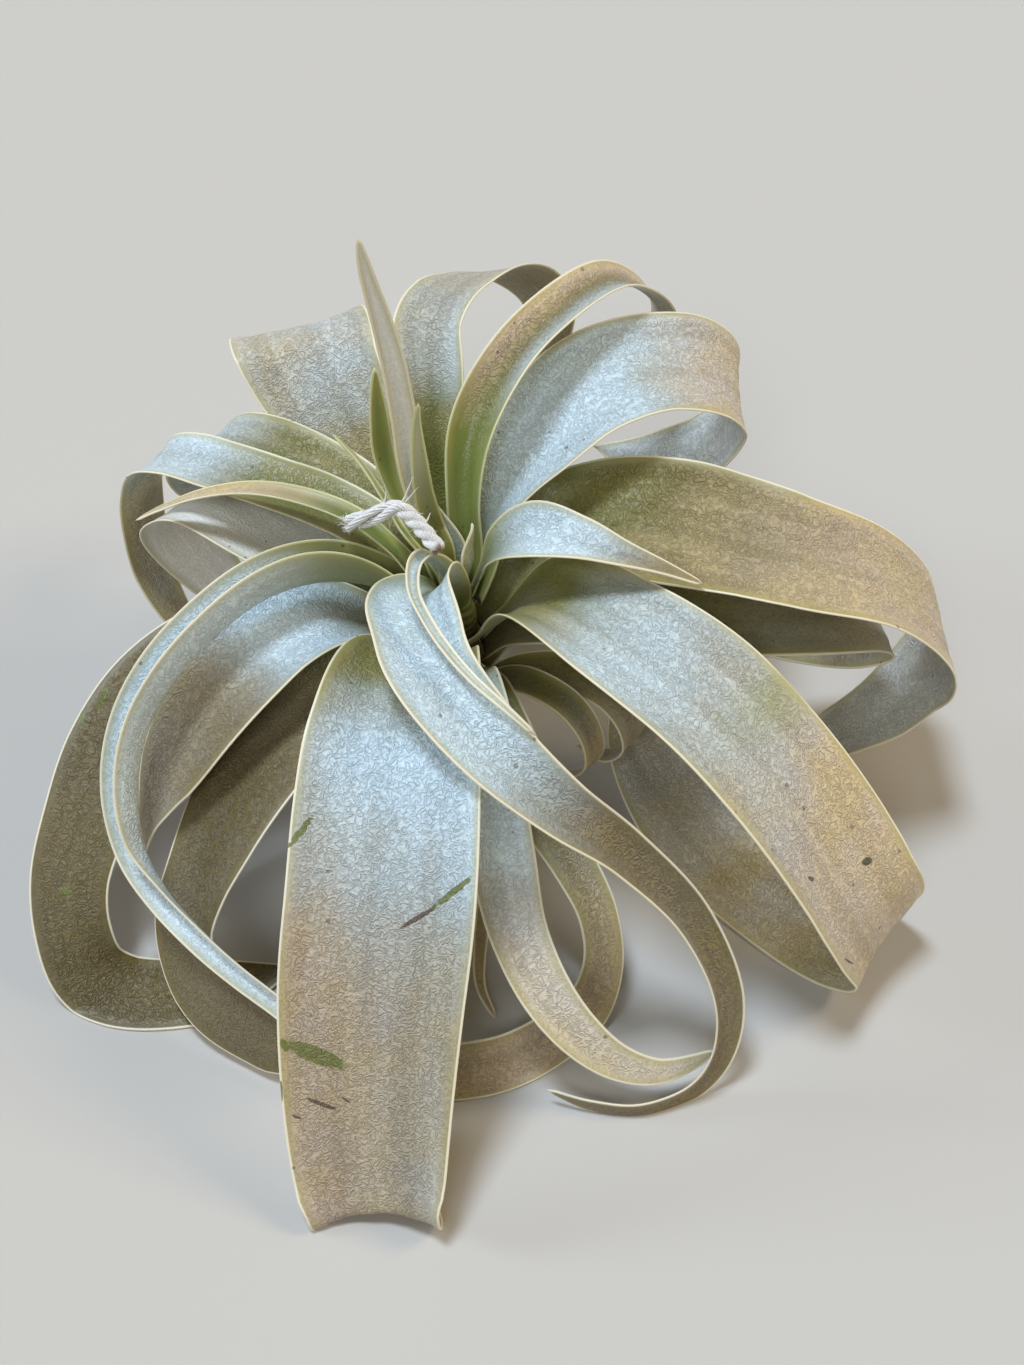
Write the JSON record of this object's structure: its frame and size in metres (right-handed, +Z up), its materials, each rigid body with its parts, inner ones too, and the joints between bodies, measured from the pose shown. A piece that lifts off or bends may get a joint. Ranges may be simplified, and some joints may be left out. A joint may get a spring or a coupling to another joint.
{
  "type": "air plant",
  "caption": "Free-standing rosette of curling, silvery air plant leaves on a short stem, with a frayed cotton cord in its crown.",
  "frame": {"origin": "centre of the plant's footprint on the table it rests on", "axes": "+Z up, along the stem; -Y towards the side that faces the viewer in the picture; +X to that viewer's right"},
  "size_m": [0.3052, 0.3184, 0.2222],
  "materials": {
    "leaf_skin": "matte",
    "stem_bark": "rough",
    "cotton_cord": "matte"
  },
  "bodies": {
    "root": {"stem": "stem_bark", "leaf_heart_bud": "leaf_skin", "leaf_heart_spike": "leaf_skin", "leaf_heart_needle": "leaf_skin", "leaf_upright_pale": "leaf_skin", "leaf_front_long": "leaf_skin", "leaf_upright_green": "leaf_skin", "leaf_back_channel": "leaf_skin", "leaf_left_narrow": "leaf_skin", "leaf_back_right": "leaf_skin", "leaf_left_hoop": "leaf_skin", "leaf_right_short": "leaf_skin", "leaf_back_blue": "leaf_skin", "leaf_right_front": "leaf_skin", "leaf_left_folded": "leaf_skin", "leaf_right_olive": "leaf_skin", "leaf_back_left_low": "leaf_skin", "leaf_front_broad": "leaf_skin", "leaf_back_left_broad": "leaf_skin", "leaf_left_front_blue": "leaf_skin", "leaf_left_broad": "leaf_skin", "leaf_right_low": "leaf_skin", "leaf_front_narrow": "leaf_skin", "leaf_left_dark": "leaf_skin", "leaf_back_low": "leaf_skin", "leaf_front_loop": "leaf_skin", "leaf_far_left": "leaf_skin", "leaf_back_left_under": "leaf_skin", "leaf_small_curl": "leaf_skin", "leaf_back_right_under": "leaf_skin", "leaf_right_dark": "leaf_skin", "leaf_front_thin": "leaf_skin", "leaf_front_slender": "leaf_skin", "crown_cord": "cotton_cord"}
  },
  "joints": []
}
